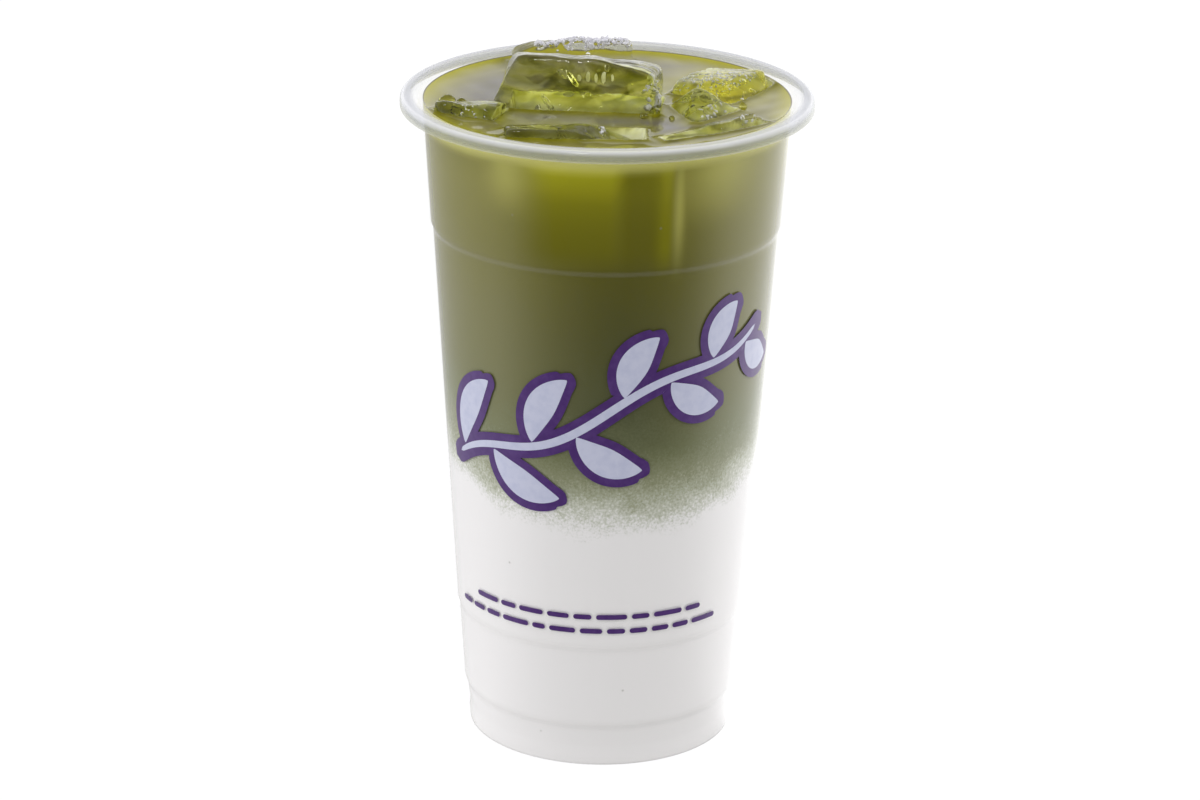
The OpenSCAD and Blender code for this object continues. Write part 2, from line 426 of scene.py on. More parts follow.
def drink_side(name):
    """The drink's finish through the wall: a ramp over height, grain, sunken ice, painted light and shade.
    """
    made = bare(name)
    spot = add(made, "TexCoord").outputs["Object"]
    paint = {key: add(made, "Attribute", attribute_name=key).outputs["Fac"]
             for key in ("layer", "strength_and_shade", "window", "bright", "glow")}
    # Grain of the fringe: matcha powder caught in milk, 0.6 mm; and slow clouds of 9 mm.
    grain = add(made, "TexNoise", {"Vector": spot, "Scale": 1700.0, "Detail": 2.0, "Roughness": 0.7})
    cloud = add(made, "TexNoise", {"Vector": spot, "Scale": 110.0, "Detail": 3.0, "Roughness": 0.55})
    grain = add(made, "MapRange", {0: grain.outputs["Fac"], 1: 0.25, 2: 0.75, 3: -3.2 * MM, 4: 3.2 * MM})
    cloud = add(made, "MapRange", {0: cloud.outputs["Fac"], 1: 0.3, 2: 0.7, 3: -2.0 * MM, 4: 2.0 * MM})
    height = add(made, "Math", {0: paint["layer"], 1: grain}, operation="ADD")
    height = add(made, "Math", {0: height, 1: cloud}, operation="ADD")
    height = add(made, "MapRange", {0: height, 1: LAYER_LOW, 2: LAYER_HIGH})
    pale = add(made, "ValToRGB", {0: height}, stops=layer_stops(
        (60, "#F3F1EF"), (62, "#E9E8E4"), (65, "#C9CBBC"), (68.5, "#A9AC95"), (73, "#8E9173"),
        (80, "#7D815E"), (90, "#7C7C54"), (108, "#7F7D50"), (126, "#807D42"), (150, "#8A863A")))
    deep_and_shaded = add(made, "ValToRGB", {0: height}, stops=layer_stops(
        (60, "#F3F1EF"), (62, "#E2E2DC"), (65, "#BCBEAE"), (68.5, "#9A9D85"), (73, "#787C5F"),
        (80, "#64684A"), (90, "#54573A"), (108, "#53532B"), (122, "#585620"), (150, "#67641B")))
    # The pale and the deep ramp are mixed by the tea's strength and the painted shade.
    base = add(made, "MixRGB", {0: paint["strength_and_shade"], 1: pale, 2: deep_and_shaded})
    # The sunken block: its ramp runs from painted shade to painted light.
    sunk = add(made, "ValToRGB", {0: paint["bright"]}, stops=[
        (0.0, "#5C5913"), (0.35, "#7F7C12"), (0.7, "#A7A41C"), (1.0, "#CBC83A")])
    base = add(made, "MixRGB", {0: paint["window"], 1: base, 2: sunk})
    # Painted light: pale yellow where the glow is painted.
    base = add(made, "MixRGB", {0: paint["glow"], 1: base, 2: srgb("#DEDA74")})
    # Specks: undissolved powder and tiny bubbles, 0.6 mm across, about one in 13 mm.
    dots = add(made, "TexVoronoi", {"Vector": spot, "Scale": 150.0})
    near = add(made, "MapRange", {0: dots.outputs["Distance"], 1: 0.03, 2: 0.06, 3: 0.35, 4: 0.0})
    some = add(made, "SeparateColor", {0: dots.outputs["Color"]})
    some = add(made, "Math", {0: some.outputs[0], 1: 0.72}, operation="GREATER_THAN")
    near = add(made, "Math", {0: near, 1: some}, operation="MULTIPLY")
    base = add(made, "MixRGB", {0: near, 1: base, 2: srgb("#8D8C7C")})
    surface = add(made, "BsdfPrincipled", {
        "Base Color": base, "Roughness": 0.45, "IOR": 1.33, "Specular IOR Level": 0.0,
        "Coat Weight": 1.0, "Coat Roughness": 0.09, "Coat IOR": 1.45})
    add(made, "OutputMaterial", {0: surface})
    return made


tea_side = drink_side("matcha_behind_plastic")
milk_side = drink_side("milk_behind_plastic")

# %% [markdown]
# ## The open surface
# Glossy, still liquid. Away from the ice it is painted lilac grey, a painted reflection of the
# pale room that it would mirror. By the ice it is painted the tea's own darker, clear yellow
# green, without that painted reflection. By the wall and round the right block a bright yellow
# ring is painted light. How much of each shows is an amount painted per point.

# %% Wet top of the tea
tea_wet = bare("matcha_open_surface")
spot = add(tea_wet, "TexCoord").outputs["Object"]
paint = {key: add(tea_wet, "Attribute", attribute_name=key).outputs["Fac"]
         for key in ("near_ice", "ring", "sunny", "socket")}
swirl = add(tea_wet, "TexNoise", {"Vector": spot, "Scale": 90.0, "Detail": 3.0, "Distortion": 1.2})
swirl = add(tea_wet, "MapRange", {0: swirl.outputs["Fac"], 1: 0.35, 2: 0.7, 3: 0.0, 4: 0.6})
body = add(tea_wet, "MixRGB", {0: swirl, 1: srgb("#5B5663"), 2: srgb("#66624A")})
# Painted light: a bright yellow ring by the wall and round the right block.
body = add(tea_wet, "MixRGB", {0: paint["ring"], 1: body, 2: srgb("#B4AE2A")})
clear = add(tea_wet, "MixRGB", {0: swirl, 1: srgb("#7F7B10"), 2: srgb("#3C3902")})
body = add(tea_wet, "MixRGB", {0: paint["near_ice"], 1: body, 2: clear})
# Under a block the tea is painted in long light and dark patches, painted light and shade as if
# lit through the ice; under the right block they are warmer.
stretch = add(tea_wet, "Mapping", {0: spot, "Scale": (70, 150, 170), "Rotation": (0.3, 0.2, 0.1)})
patch = add(tea_wet, "TexNoise", {"Vector": stretch, "Scale": 1.0, "Detail": 2.5, "Distortion": 0.8})
patch = add(tea_wet, "ValToRGB", {0: patch.outputs["Fac"]}, stops=[
    (0.34, "#A3A148"), (0.44, "#CCCB78"), (0.54, "#E6E7A6"), (0.66, "#F4F5D4")])
patch = add(tea_wet, "MixRGB", {0: paint["sunny"], 1: patch, 2: srgb("#F8F27C")})
body = add(tea_wet, "MixRGB", {0: paint["socket"], 1: body, 2: patch})
shader = add(tea_wet, "BsdfPrincipled", {
    "Base Color": body, "Roughness": 0.06, "IOR": 1.33, "Specular IOR Level": 0.3})
add(tea_wet, "OutputMaterial", {0: shader})

# %% [markdown]
# ## Shape of the layers
# Each layer is one turned body with a grid over its side and its flat ends. The tea's top is a
# height field over radius and angle: level liquid, drawn up a little at the wall and at the
# ice, and sunk into a socket wherever a block floats. A socket's sloping wall lies inside its
# block, so no air shows between ice and tea.

# %% Milk
INTO_WALL = 0.35 * MM
side_columns = 448
side_angle = np.linspace(0, 2 * np.pi, side_columns, endpoint=False)


def layer_side(low, high, step=1.0 * MM):
    """(radius, height) of a layer's side, just inside the wall's thickness, every 'step'."""
    heights = np.linspace(low, high, int(round((high - low) / step)) + 1)
    return np.stack([inner_radius(heights) + INTO_WALL, heights], -1)


milk_low = FLOOR_TOP - 0.3 * MM
side = layer_side(FLOOR_TOP + 1.6 * MM, TEA_BOTTOM)
# The thick foot of a real cup looks as white as its milk, so this piece runs down into the foot.
foot_heights = np.array([0.6, 1.2, 2.0, 2.8]) * MM
foot_side = np.stack([outer_radius(foot_heights) - INTO_WALL, foot_heights], -1)
floor_ring = np.array([[0.0, milk_low], [cup_outline[0, 0], milk_low],
                       [cup_outline[1, 0] + 0.6 * MM, 0.4 * MM], [foot_side[0, 0] - 0.4 * MM, 0.4 * MM]])
top_ring = np.array([[side[-1, 0] - 1.0 * MM, TEA_BOTTOM], [0.0, TEA_BOTTOM]])
milk_outline = np.vstack([floor_ring, foot_side, side, top_ring])
milk_points = revolved(milk_outline, side_columns)
make_piece("milk_body", milk_points, grid_faces(len(milk_outline), side_columns, wrap=True), "milk",
           [milk_side], ["milk"],
           paint=side_paint(*np.broadcast_arrays(side_angle, milk_outline[:, 1, None])))

# %% A field of gentle waves
def ripples(points, length, rng, count=14):
    """A smooth random field near -1 to 1: sines of about one wavelength, in random directions."""
    ways = rng.normal(size=(count, 3))
    ways *= (2 * np.pi / length) * rng.uniform(0.7, 1.4, (count, 1)) \
        / np.linalg.norm(ways, axis=1, keepdims=True)
    return np.sin(points @ ways.T + rng.uniform(0, 2 * np.pi, count)).sum(-1) / np.sqrt(count)


# %% Tea
WALL_CLIMB, ICE_CLIMB = 0.9 * MM, 0.45 * MM


def tea_height(x, y, radius):
    """Height of the tea's top, and its painted amounts.

    Level, plus climb * exp(-distance / reach) at the wall and at each block, plus faint waves,
    and within a block blended down to its underside."""
    edge = inner_radius(TEA_TOP) + INTO_WALL - radius
    waves = np.stack([x, y, np.zeros_like(x)], -1)
    height = TEA_TOP + WALL_CLIMB * np.exp(-edge / (1.8 * MM)) \
        + 0.05 * MM * ripples(waves, 7 * MM, np.random.default_rng(3)) * smooth(edge, 0, 3 * MM)
    near_ice, socket = np.zeros_like(height), np.zeros_like(height)
    level = np.full_like(height, TEA_TOP)
    for block in blocks.values():
        out = block.clearance(x, y, level)
        away = np.clip(out, 0, None)
        height = height + ICE_CLIMB * np.exp(-away / (0.8 * MM))
        near_ice = np.maximum(near_ice, np.exp(-(away / (3.2 * MM)) ** 1.5))
        low = block.underside(x, y, 0.4 * MM)
        sunk = smooth(-out, 0.2 * MM, 1.8 * MM) * (low < TEA_TOP)
        height = height + sunk * (np.clip(low, TEA_BOTTOM, TEA_TOP) - height)
        socket = np.maximum(socket, smooth(-out, 0, 0.6 * MM))
        # Painted warm light under the right block, and a bright ring of painted light round it.
        if block.name == "ice_right":
            sunny, beside = sunk, 0.9 * np.exp(-away / (9 * MM))
    return height, near_ice, socket, sunny, np.maximum(np.exp(-edge / (6 * MM)), beside)


top_rows = 104
side = layer_side(TEA_BOTTOM, TEA_TOP)
radii = side[-1, 0] * np.linspace(1, 0, top_rows)[1:]
top_x, top_y, _ = np.moveaxis(around(radii[:, None], side_angle, 0.0), -1, 0)
top_z, *top_paint = tea_height(top_x, top_y, radii[:, None] * np.ones_like(top_x))
top_z[-1] = top_z[-1].mean()
side_points = around(side[:, 0, None], side_angle, side[:, 1, None])
side_points[-1, :, 2] += WALL_CLIMB
bottom_points = around(np.array([0.0, side[0, 0] - 1 * MM])[:, None], side_angle, TEA_BOTTOM)
tea_points = np.concatenate([bottom_points, side_points, np.stack([top_x, top_y, top_z], -1)])
tea_paint = side_paint(*np.broadcast_arrays(side_angle, tea_points[..., 2]))
for key, values in zip(("near_ice", "socket", "sunny", "ring"), top_paint):
    tea_paint[key] = np.concatenate([np.zeros((2 + len(side), side_columns)), values])
tea_faces = grid_faces(len(tea_points), side_columns, wrap=True)
is_top = tea_faces[:, 0] // side_columns >= len(side) + 1
make_piece("tea_body", tea_points, tea_faces, "green_tea", [tea_side, tea_wet], ["matcha"],
           paint=tea_paint, face_material=is_top)

# %% [markdown]
# ## Worn ice
# Ice in a drink melts first at its corners, so a block keeps its flat faces and loses its edges.
# A soft maximum of the planes gives that: the power sets how sharp the edges stay. Long shallow
# waves are the uneven melting, and short ones the ripples that make light glint. A few chips
# cut across one end give the broken, sparkling look of ice that was cracked from a larger piece.

# %% Ice material
# Clear ice: bends light less than glass does, and is smooth where it is wet.
clear_ice = bare("clear_wet_ice")
spot = add(clear_ice, "TexCoord").outputs["Object"]
frost = add(clear_ice, "TexNoise", {"Vector": spot, "Scale": 260.0, "Detail": 4.0, "Roughness": 0.6})
bump = add(clear_ice, "Bump", {"Strength": 0.3, "Distance": 0.15 * MM, "Height": frost.outputs["Fac"]})
paint = {key: add(clear_ice, "Attribute", attribute_name=key).outputs["Fac"]
         for key in ("green", "sunny", "dark_olive_tint")}
# The tint is painted: the tea's green in light and dark patches, which are painted light and shade, with
# painted warm light and a dark olive mixed in.
patch = add(clear_ice, "Mapping", {0: spot, "Scale": (110, 170, 260)})
patch = add(clear_ice, "TexNoise", {"Vector": patch, "Scale": 1.0, "Detail": 2.0, "Distortion": 0.7})
patch = add(clear_ice, "ValToRGB", {0: patch.outputs["Fac"]}, stops=[
    (0.36, "#7D810C"), (0.46, "#D6D948"), (0.6, "#FAFB9E")])
tint = add(clear_ice, "MixRGB", {0: paint["green"], 1: srgb("#F0F0F4"), 2: patch})
tint = add(clear_ice, "MixRGB", {0: paint["sunny"], 1: tint, 2: srgb("#F8F47A")})
tint = add(clear_ice, "MixRGB", {0: paint["dark_olive_tint"], 1: tint, 2: srgb("#57531E")})
ICE_IOR = 1.31
shader = add(clear_ice, "BsdfPrincipled", {
    "Base Color": tint, "Roughness": 0.03, "IOR": ICE_IOR, "Transmission Weight": 1.0, "Normal": bump})
# Daylight still reaches the tea under a block, so the ice casts only a thin shadow.
thin_shade = add(clear_ice, "BsdfTransparent", {0: srgb("#F6F8E0")})
ray = add(clear_ice, "LightPath").outputs["Is Shadow Ray"]
shader = add(clear_ice, "MixShader", {0: ray, 1: shader, 2: thin_shade})
add(clear_ice, "OutputMaterial", {0: shader})

# %% Cut and melt the blocks
def ball_grid(rows, columns):
    """Directions (cos u, sin u cos v, sin u sin v) on a rows x columns grid, and u itself."""
    u, v = np.meshgrid(np.linspace(0, np.pi, rows), np.linspace(0, 2 * np.pi, columns, endpoint=False),
                       indexing="ij")
    return np.stack([np.cos(u), np.sin(u) * np.cos(v), np.sin(u) * np.sin(v)], -1), u


def worn(block, rng, chips, chip_end, flare, power=20, rows=110, columns=150):
    """Points of one block on a rows x columns grid of directions from its centre, and how far
    each lies down the way from the block's top (0) to the tea's surface (1).

    The reach in a direction d is (sum of (d.n / h)^power over the planes)^(-1/power), which is
    the block itself for an endless power. Waves of 9 and 2.2 mm are added along d."""
    ball, u = ball_grid(rows, columns)
    way = ball * block.half @ block.axes
    way /= np.linalg.norm(way, axis=-1, keepdims=True)
    normals, distances = block.normals, block.distances
    # Chips: extra planes across one end, each at 93 to 99 % of the reach there.
    extra = np.asarray(chip_end, float) + rng.normal(size=(chips, 3)) * 0.3
    extra /= np.linalg.norm(extra, axis=1, keepdims=True)
    reach = 1 / (np.maximum(extra @ normals.T / distances, 0) ** power).sum(1) ** (1 / power)
    normals = np.vstack([normals, extra])
    distances = np.concatenate([distances, reach * rng.uniform(0.93, 0.99, chips)])
    lean = np.maximum(way @ normals.T / distances, 0)
    reach = (lean ** power).sum(-1) ** (-1 / power)
    points = way * reach[..., None]
    fade = np.sin(u) ** 0.3
    relief = 0.28 * MM * ripples(points, 9 * MM, rng) + 0.07 * MM * ripples(points, 2.2 * MM, rng)
    points = block.centre + way * (reach + (relief - 0.2 * MM) * fade)[..., None]
    # Flare: the left end melts more above the tea than at it, so it slants out towards its foot.
    top = points[..., 2].max()
    left = np.clip((block.centre[0] - points[..., 0]) / block.half.max(), 0, 1) ** 1.5
    points[..., 0] -= flare * left * np.clip((top - points[..., 2]) / (top - TEA_TOP), 0, 1.2)
    return points, (top - points[..., 2]) / (top - TEA_TOP)


rng = np.random.default_rng(7)
# For each block: how many chips and where they cut it; then how much it is tinted with the tea's
# green, with painted warm light, and with dark olive.
traits = {
    "ice_middle": (6, (1.0, -0.4, -0.45), 1.0, 0.0, 0.0),
    "ice_back": (5, (0.0, 0.0, 1.0), 0.05, 0.25, 0.0),
    "ice_left": (4, (0.0, -0.5, 0.8), 1.0, 0.2, 0.3),
    "ice_front": (5, (0.6, -0.2, 0.8), 1.0, 0.0, 0.95),
    "ice_right": (6, (0.3, -0.6, 0.8), 1.0, 0.8, 0.0),
    "ice_tip": (3, (0.3, -0.6, 0.5), 1.0, 0.2, 0.15),
    "ice_edge": (3, (0.6, -0.5, 0.8), 0.7, 0.1, 0.1)}
skins = {}
for name, block in blocks.items():
    chips, end, green, warm, dark_olive_tint = traits[name]
    points, depth = worn(block, rng, chips, end, flare=5 * MM if name == "ice_middle" else 0.0)
    skins[name] = points
    # A dark line painted on the ice at the waterline, on the front of each block only.
    line = smooth(depth, 0.8, 0.93) * (1 - smooth(depth, 1.03, 1.2)) \
        * smooth(block.centre[1] - points[..., 1], 0, 3 * MM)
    make_piece(name.replace("ice", "block"), points, grid_faces(*points.shape[:2], wrap=True), "ice",
               [clear_ice], [name],
               paint={"green": green * smooth(depth, 0.04, 0.3) * (1 - 0.5 * smooth(depth, 0.6, 1.0)),
                      "sunny": warm * smooth(depth, 0.1, 0.7),
                      "dark_olive_tint": dark_olive_tint * (1 - 0.7 * smooth(depth, 0.5, 1.2)) + 0.75 * line})

# %% [markdown]
# ## Air in the ice
# Ice keeps air as round bubbles and as thin films in its cracks. A film mirrors the room
# wherever the eye meets it at a low angle, which is the sparkle inside real ice. Both are
# hollows, so their finish bends light the other way: air in ice has an index of 1 / 1.31.

# %% Bubbles and films
trapped_air = bare("air_trapped_in_ice")
spot = add(trapped_air, "TexCoord").outputs["Object"]
pits = add(trapped_air, "TexNoise", {"Vector": spot, "Scale": 900.0, "Detail": 2.0})
bump = add(trapped_air, "Bump", {"Strength": 0.3, "Distance": 0.05 * MM, "Height": pits.outputs["Fac"]})
shader = add(trapped_air, "BsdfPrincipled", {
    "Base Color": srgb("#FFFFFF"), "Roughness": 0.0, "IOR": 1 / ICE_IOR, "Transmission Weight": 1.0,
    "Normal": bump})
add(trapped_air, "OutputMaterial", {0: shader})


def many(centres, frames, rng, rough=0.0, rows=7, columns=10):
    """Small round shapes: a unit ball on a grid, roughened, put through each 3 x 3 frame of half axes."""
    ball = ball_grid(rows, columns)[0].reshape(-1, 3)
    size = 1 + rough * rng.uniform(-1, 1, (len(centres), rows, columns))
    size[:, 0], size[:, -1] = size[:, 0, :1], size[:, -1, :1]
    shapes = ball * size.reshape(len(centres), -1, 1)
    points = centres[:, None] + np.einsum("nij,njk->nik", shapes, frames)
    faces = grid_faces(rows, columns, wrap=True) + (np.arange(len(centres)) * rows * columns)[:, None, None]
    return points.reshape(-1, 3), faces.reshape(-1, 4)


def within(block, rng, count, low, high):
    """Random places in a block, 'low' to 'high' of the way from its centre to its surface."""
    way = rng.normal(size=(count, 3)) * block.half @ block.axes
    way /= np.linalg.norm(way, axis=1, keepdims=True)
    reach = 1 / np.maximum(way @ block.normals.T / block.distances, 1e-9).max(-1)
    return block.centre + way * (reach * rng.uniform(low, high, count))[:, None]


def turned_frames(rng, count, sizes):
    """Random right-angled frames, with rows scaled to three half sizes."""
    frames, _ = np.linalg.qr(rng.normal(size=(count, 3, 3)))
    return frames * sizes


def spread(counts, rng, sizes_of, low, high):
    """Centres and frames of many shapes in the blocks; sizes_of(count) gives their half sizes."""
    centres, frames = [], []
    for name, count in counts.items():
        centres.append(within(blocks[name], rng, count, low, high))
        frames.append(turned_frames(rng, count, sizes_of(count)))
    return np.vstack(centres), np.vstack(frames)


# Round bubbles, mostly 0.3 to 1 mm across.
bubbles = {"ice_middle": 16, "ice_back": 30, "ice_left": 22, "ice_front": 20, "ice_right": 50,
           "ice_tip": 6, "ice_edge": 12}
found = spread(bubbles, rng, lambda count: rng.lognormal(-1.25, 0.45, (count, 1, 1)) * MM, 0.15, 0.8)
make_piece("ice_bubbles", *many(*found, rng), "ice", [trapped_air])

# Films under 0.2 mm thick, about 2 by 4 mm.
films = {"ice_middle": 9, "ice_back": 6, "ice_left": 4, "ice_front": 5, "ice_right": 8, "ice_tip": 3}
film_half = np.array([0.09, 1.3, 2.6])[:, None] * MM
found = spread(films, rng, lambda count: rng.uniform(0.6, 1.0, (count, 3, 1)) * film_half, 0.2, 0.7)
make_piece("ice_cracks", *many(*found, rng, rough=0.25, rows=12, columns=18), "ice", [trapped_air])

# %% [markdown]
# ## Frost and crumbs
# Where a block was cracked or has met warm air, its skin breaks into facets of about 1 mm. Each
# is given a shade from green to white by chance: partly the white of frost, partly painted
# glints. They are small roughened balls set in the skin, each with a random frame, all in one
# mesh. Crumbs are larger lumps made the same way.

# %% Frost and broken facets
frosted = bare("frosted_ice_facets")
spot = add(frosted, "TexCoord").outputs["Object"]
cell = add(frosted, "TexVoronoi", {"Vector": spot, "Scale": 1100.0})
cell = add(frosted, "SeparateColor", {0: cell.outputs["Color"]})
shade = add(frosted, "ValToRGB", {0: cell.outputs[0]}, stops=[
    (0.15, "#8B8E52"), (0.4, "#BCBF8E"), (0.62, "#E4E5D8"), (0.85, "#FFFFFF")])
pale = add(frosted, "Attribute", attribute_name="pale").outputs["Fac"]
shade = add(frosted, "MixRGB", {0: pale, 1: shade, 2: srgb("#F6F5FB")})
shader = add(frosted, "BsdfPrincipled", {
    "Base Color": shade, "Roughness": 0.12, "IOR": ICE_IOR, "Alpha": 0.65})
add(frosted, "OutputMaterial", {0: shader})


def skin_places(block, points, towards, rng, count, near):
    """Random points of a block's skin above the tea: those past the quantile 'near' of 'towards'."""
    flat = points.reshape(-1, 3)
    flat = flat[flat[:, 2] > TEA_TOP + 0.3 * MM]
    way = (flat - block.centre) @ np.asarray(towards, float)
    return flat[rng.choice(np.flatnonzero(way >= np.quantile(way, near)), count)]


# For each block: the side that is frosted, how many facets, the quantile, their size and paleness.
frosts = (
    ("ice_middle", (1.0, -0.6, -0.1), 60, 0.95, 1.0, 0.5),
    ("ice_back", (0.0, -0.2, 1.0), 150, 0.7, 0.85, 1.0),
    ("ice_right", (0.0, -0.2, 1.0), 170, 0.6, 0.5, 0.3),
    ("ice_tip", (0.6, -0.5, 0.6), 14, 0.85, 0.7, 0.5),
    ("ice_front", (1.0, -0.1, 0.5), 10, 0.96, 0.7, 0.7),
    ("ice_left", (-0.2, -0.6, 0.8), 16, 0.7, 0.45, 0.1),
    ("ice_edge", (0.7, 0.0, 0.7), 12, 0.9, 0.5, 0.6))
centres, frames, pale = [], [], []
for name, towards, count, near, size, white in frosts:
    pale.append(np.full(count, white))
    centres.append(skin_places(blocks[name], skins[name], towards, rng, count, near))
    centres[-1] += (blocks[name].centre - centres[-1]) * 0.03
    sizes = rng.lognormal(0, 0.3, (count, 3, 1)) * np.array([0.35, 0.65, 0.9])[:, None] * size * MM
    frames.append(turned_frames(rng, count, sizes))
# Inside the large block: five upright white streaks near its top, and one blob low down: painted
# highlights. Each has its place (x, y, height above the tea) and its half sizes.
streaks = np.array([
    [-6.4, -6.0, 7.0, 0.45, 0.2, 1.0], [-4.4, -6.2, 7.3, 0.5, 0.2, 1.4],
    [-2.6, -6.3, 7.2, 0.4, 0.2, 1.2], [-0.8, -6.3, 7.4, 0.5, 0.2, 1.5],
    [1.2, -6.0, 7.2, 0.35, 0.2, 0.9], [-8.8, -8.6, 4.0, 1.3, 0.4, 0.7]]) * MM
centres.append(streaks[:, :3] + (0, 0, TEA_TOP))
frames.append(streaks[:, 3:, None] * np.eye(3))
pale = np.concatenate(pale + [np.full(len(streaks), 0.8)])
points, faces = many(np.vstack(centres), np.vstack(frames), rng, rough=0.2, rows=5, columns=6)
make_piece("ice_frost_and_highlights", points, faces, "ice", [frosted], crease=20,
           paint={"pale": np.repeat(pale, len(points) // len(pale))})

# %% Crumbs of ice
# A few bits broken off the blocks float beside them: place (x, y) and half size of each.
crumbs = np.array([[10.8, -11.8, 1.6], [8.4, -13.6, 1.0], [-36.6, -3.4, 1.9], [-33.2, -4.6, 1.2],
                   [14.6, -14.4, 0.8], [31.0, -3.0, 1.0], [-24.0, 12.0, 0.7]]) * MM
sizes = crumbs[:, 2, None, None] * rng.uniform(0.7, 1.2, (len(crumbs), 3, 1))
centres = np.stack([crumbs[:, 0], crumbs[:, 1], TEA_TOP + 0.3 * crumbs[:, 2]], -1)
points, faces = many(centres, turned_frames(rng, len(crumbs), sizes), rng, rough=0.06, rows=10, columns=14)
make_piece("ice_crumbs", points, faces, "ice", [clear_ice],
           paint={"green": np.full(len(points), 0.8), "sunny": np.full(len(points), 0.3),
                  "dark_olive_tint": np.zeros(len(points))})

# %% [markdown]
# ## Printing on the wall
# The cup is screen printed in two inks: a thick violet ground, and a pale lilac on top of it.
# The motif is a plain sprig of tea leaves that climbs round the cup, with two rows of small
# bars under it. Each shape is a stroke with its own width profile, laid on the wall as a film.

# %% Ink
def film(path, width, lift, across=9):
    """A stroke laid on the wall. path holds (degrees round, height in mm) for each step along it.

    The stroke's points lie at path + width * s * (unit normal) for s from -1 to 1, where the
    normal is taken in the unrolled wall. Every point is then moved to 'lift' outside the wall."""
    path = np.asarray(path, float)
    near = outer_radius(path[:, 1] * MM) / MM
    flat = np.stack([np.radians(path[:, 0]) * near, path[:, 1]], -1)
    along = np.gradient(flat, axis=0)
    normal = np.stack([-along[:, 1], along[:, 0]], -1)
    normal /= np.maximum(np.linalg.norm(normal, axis=1, keepdims=True), 1e-9)
    spread = np.linspace(-1, 1, across)[None, :, None] * (width * 0.5)[:, None, None]
    laid = flat[:, None] + normal[:, None] * spread
    angle = laid[..., 0] / near[:, None]
    height = laid[..., 1] * MM
    return around(outer_radius(height) + lift, angle, height)


def bar(start, end, width, steps=24):
    """A straight bar with round ends between two places (degrees, mm)."""
    start, end = np.asarray(start, float), np.asarray(end, float)
    scale = np.array([outer_radius(start[1] * MM) / MM * np.pi / 180, 1.0])
    length = np.linalg.norm((end - start) * scale)
    half = width / 2
    unit = (end - start) / length
    s = -np.cos(np.linspace(0, np.pi, steps)) * (length / 2 + half)
    path = (start + end) / 2 + unit * s[:, None]
    over = np.clip(np.abs(s) - length / 2, 0, half)
    return path, 2 * np.sqrt(np.maximum(half ** 2 - over ** 2, 1e-6))


def leaf(root, turn, length, width, bend, steps=40, grow=0.0):
    """A pointed leaf from its root (degrees, mm), leaning 'turn' degrees up from level.

    Its midrib is a parabola, and its width follows sin(pi t)^0.75, or ^0.6 where 'grow' widens
    it all round."""
    near = outer_radius(root[1] * MM) / MM
    t = (1 - np.cos(np.linspace(0, np.pi, steps))) / 2
    share = grow / length
    s = t * (1 + 2 * share) - share
    x = s * length
    y = bend * length * 4 * np.clip(s, 0, 1) * (1 - np.clip(s, 0, 1))
    a = math.radians(turn)
    path = np.stack([root[0] + np.degrees((x * math.cos(a) - y * math.sin(a)) / near),
                     root[1] + x * math.sin(a) + y * math.cos(a)], -1)
    return path, (width + 2 * grow) * np.sin(np.pi * t) ** (0.75 if grow == 0 else 0.6)


def joined(strokes, lift):
    """Points and faces of many strokes as one mesh."""
    points, faces, count = [], [], 0
    for path, width in strokes:
        laid = film(path, width, lift)
        faces.append(grid_faces(*laid.shape[:2]) + count)
        points.append(laid.reshape(-1, 3))
        count += len(points[-1])
    return np.vstack(points), np.vstack(faces)


def stem_height(turn):
    """Height of the sprig's stem in mm at an angle: a slow climb with a gentle wave."""
    t = (turn + 70) / 140
    return 70 + 40 * t + 2.2 * np.sin(4 * np.pi * t)


def sprig(offset):
    """The strokes of one sprig: (violet ground, pale face)."""
    turns = np.linspace(-66, 66, 90)
    stem = np.stack([turns + offset, stem_height(turns)], -1)
    to_end = np.minimum(turns - turns[0], turns[-1] - turns) * 0.7
    ground = [(stem, 5.6 * np.sqrt(np.maximum(1 - np.clip(1 - to_end / 2.8, 0, 1) ** 2, 1e-4)))]
    face = [(stem[3:-3], 2.0 * np.sin(np.pi * np.linspace(0, 1, len(stem) - 6)) ** 0.2)]
    for number, turn in enumerate(np.linspace(-58, 56, 8)):
        up = number % 2 == 0
        length = 20.5 - 1.1 * number
        root = (turn + offset, stem_height(turn) + (1.2 if up else -1.2))
        lean = 62 if up else -28
        shape = root, lean, length, 7.0, 0.12 if up else -0.12
        ground.append(leaf(*shape, grow=2.0))
        face.append(leaf(*shape))
    return ground, face


violet_strokes, pale_strokes = [], []
for offset in (0, 180):
    ground, face = sprig(offset)
    violet_strokes += ground
    pale_strokes += face

# Two rows of bars, like generic small print: (height, first angle, last angle, bar lengths in mm)
small = []
rows = ((39.6, -54, 41, (6, 3, 5, 4, 3, 6, 3)), (36.0, -66, 52, (3, 3, 3, 6, 2, 5, 4, 3)))
bar_width, space = 1.25, 2.3
for height, first, last, lengths in rows:
    turn, number, degrees_per_mm = float(first), 0, math.degrees(MM / outer_radius(height * MM))
    while turn < last - 3:
        end = min(turn + lengths[number % len(lengths)] * degrees_per_mm, last)
        small.append(bar((turn, height), (end, height), bar_width))
        turn, number = end + space * degrees_per_mm, number + 1
print("strokes:", len(violet_strokes), "violet,", len(pale_strokes), "pale,", len(small), "small")

# %% Ink finishes
def ink(name, code, worn_code):
    """Screen ink: an even film, a little uneven in tone where the mesh of the screen lifted off."""
    made = bare(name)
    spot = add(made, "TexCoord").outputs["Object"]
    uneven = add(made, "TexNoise", {"Vector": spot, "Scale": 500.0, "Detail": 3.0})
    colour = add(made, "ValToRGB", {0: uneven.outputs["Fac"]}, stops=[(0.3, worn_code), (0.6, code)])
    surface = add(made, "BsdfPrincipled", {"Base Color": colour, "Roughness": 0.3, "IOR": 1.48})
    add(made, "OutputMaterial", {0: surface})
    return made


